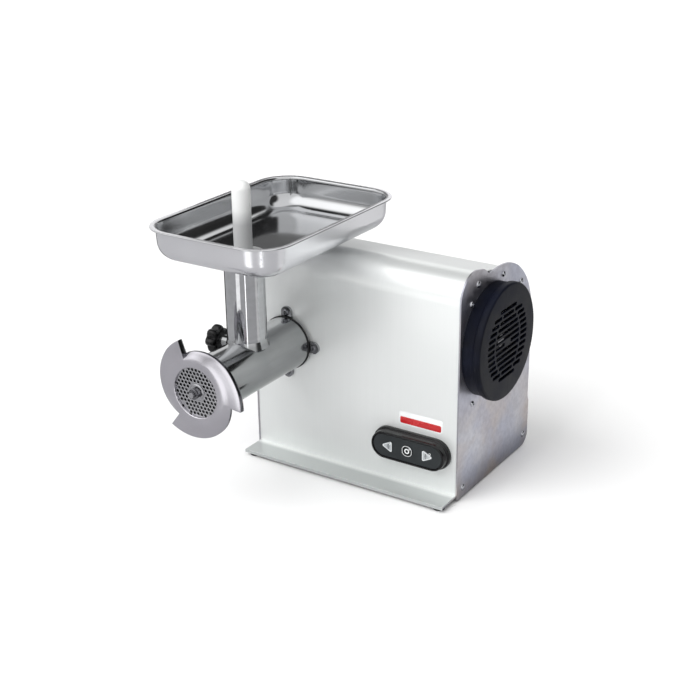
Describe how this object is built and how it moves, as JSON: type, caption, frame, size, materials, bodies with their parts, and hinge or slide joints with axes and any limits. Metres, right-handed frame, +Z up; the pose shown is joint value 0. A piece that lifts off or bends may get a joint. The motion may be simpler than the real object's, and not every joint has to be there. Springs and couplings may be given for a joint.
{
  "type": "electric meat grinder",
  "caption": "Table-top electric meat grinder: sheet steel case with a worm-geared motor, screw head with lobed ring nut, tray, pusher and keypad.",
  "frame": {"origin": "middle of the overall footprint, on the surface that the feet stand on", "axes": "+X along the front panel towards the fan cover, +Y from the mincing head to the rear wall, +Z up"},
  "size_m": [0.4384, 0.467, 0.463],
  "materials": {
    "satin_sheet": "satin stainless sheet, fine grain along the casing",
    "galvanised_plate": "dull bluish-grey plate with faint mottling",
    "polished_steel": "mirror-polished stainless steel",
    "satin_steel": "satin machined stainless steel",
    "bright_tray": "deep-drawn stainless, polished inside",
    "black_plastic": "moulded black plastic with a fine grain",
    "keypad_grey": "dark grey printed membrane",
    "key_print": "light grey printed key",
    "white_plastic": "white food-grade polyethylene",
    "black_rubber": "moulded rubber",
    "cast_alloy": "sand-cast aluminium",
    "bare_steel": "machined carbon steel",
    "laminations": "stacked electrical steel",
    "winding": "enamelled copper winding",
    "gear_bronze": "bronze gear",
    "board_green": "coated circuit board",
    "badge_red": "plain red badge, no lettering",
    "screw_steel": "zinc-plated screw heads"
  },
  "bodies": {
    "root": {"casing_shell": "satin_sheet", "left_end_plate": "galvanised_plate", "right_end_plate": "galvanised_plate", "tie_bars": "bare_steel", "end_plate_screws": "screw_steel", "base_plate": "galvanised_plate", "rubber_feet": "black_rubber", "foot_screws": "screw_steel", "motor_frame": "cast_alloy", "motor_front_shield": "cast_alloy", "motor_rear_shield": "cast_alloy", "stator_core": "laminations", "stator_windings": "winding", "motor_bearings": "bare_steel", "motor_saddle": "galvanised_plate", "fan_cover": "black_plastic", "fan_cover_screws": "screw_steel", "gearbox_housing": "cast_alloy", "gearbox_cover": "cast_alloy", "gearbox_cover_screws": "screw_steel", "output_bearings": "bare_steel", "worm_bearings": "bare_steel", "output_oil_seal": "black_rubber", "motor_adapter": "cast_alloy", "start_capacitor": "cast_alloy", "control_board": "board_green", "cable_gland": "black_plastic", "mounting_flange": "polished_steel", "head_screws": "screw_steel", "grinding_head": "polished_steel", "plate_key": "polished_steel", "switch_bezel": "black_plastic", "switch_body": "black_plastic", "switch_face": "keypad_grey", "reverse_spring": "bare_steel", "stop_spring": "bare_steel", "forward_spring": "bare_steel", "front_badge": "badge_red"},
    "rotor": {"motor_shaft": "bare_steel", "rotor_core": "laminations", "cooling_fan": "black_plastic", "worm_shaft": "bare_steel", "shaft_coupling": "bare_steel"},
    "auger": {"auger": "satin_steel", "knife": "satin_steel", "output_shaft": "bare_steel", "worm_wheel": "gear_bronze"},
    "plate": {"mincing_plate": "satin_steel"},
    "nut": {"ring_nut": "satin_steel"},
    "knob": {"clamp_knob": "black_plastic", "knob_stud": "bare_steel"},
    "tray": {"feed_tray": "bright_tray"},
    "pusher": {"pusher": "white_plastic"},
    "reverse_key": {"reverse_button": "key_print"},
    "stop_key": {"stop_button": "key_print"},
    "forward_key": {"forward_button": "key_print"}
  },
  "joints": [
    {"name": "motor_spin", "type": "hinge", "parent": "root", "child": "rotor", "pos_m": [0.07525, 0.085, 0.227], "axis": [1, 0, 0], "continuous": true},
    {"name": "auger_spin", "type": "hinge", "parent": "root", "child": "auger", "pos_m": [-0.10275, -0.1025, 0.19], "axis": [0, -1, 0], "continuous": true},
    {"name": "plate_slide", "type": "slide", "parent": "root", "child": "plate", "axis": [0, -1, 0], "range_m": [0, 0.006]},
    {"name": "ring_nut_turn", "type": "hinge", "parent": "plate", "child": "nut", "pos_m": [-0.10275, -0.2175, 0.19], "axis": [0, -1, 0], "range_deg": [0, 720]},
    {"name": "clamp_knob_turn", "type": "hinge", "parent": "root", "child": "knob", "pos_m": [-0.16075, -0.1005, 0.216], "axis": [-1, 0, 0], "range_deg": [0, 540]},
    {"name": "tray_lift", "type": "slide", "parent": "root", "child": "tray", "axis": [0, 0, 1], "range_m": [0, 0.09]},
    {"name": "pusher_slide", "type": "slide", "parent": "tray", "child": "pusher", "axis": [0, 0, 1], "range_m": [0, 0.12]},
    {"name": "reverse_press", "type": "slide", "parent": "root", "child": "reverse_key", "axis": [0, 1, 0], "range_m": [0, 0.0015], "stiffness_N_per_m": 400, "springref_m": -0.001, "deforming": ["reverse_spring"]},
    {"name": "stop_press", "type": "slide", "parent": "root", "child": "stop_key", "axis": [0, 1, 0], "range_m": [0, 0.0015], "stiffness_N_per_m": 400, "springref_m": -0.001, "deforming": ["stop_spring"]},
    {"name": "forward_press", "type": "slide", "parent": "root", "child": "forward_key", "axis": [0, 1, 0], "range_m": [0, 0.0015], "stiffness_N_per_m": 400, "springref_m": -0.001, "deforming": ["forward_spring"]}
  ],
  "couplings": [
    {"joint": "auger_spin", "follows": "motor_spin", "ratio": 0.0625},
    {"joint": "plate_slide", "follows": "ring_nut_turn", "m_per_rad": 0.00047746}
  ]
}
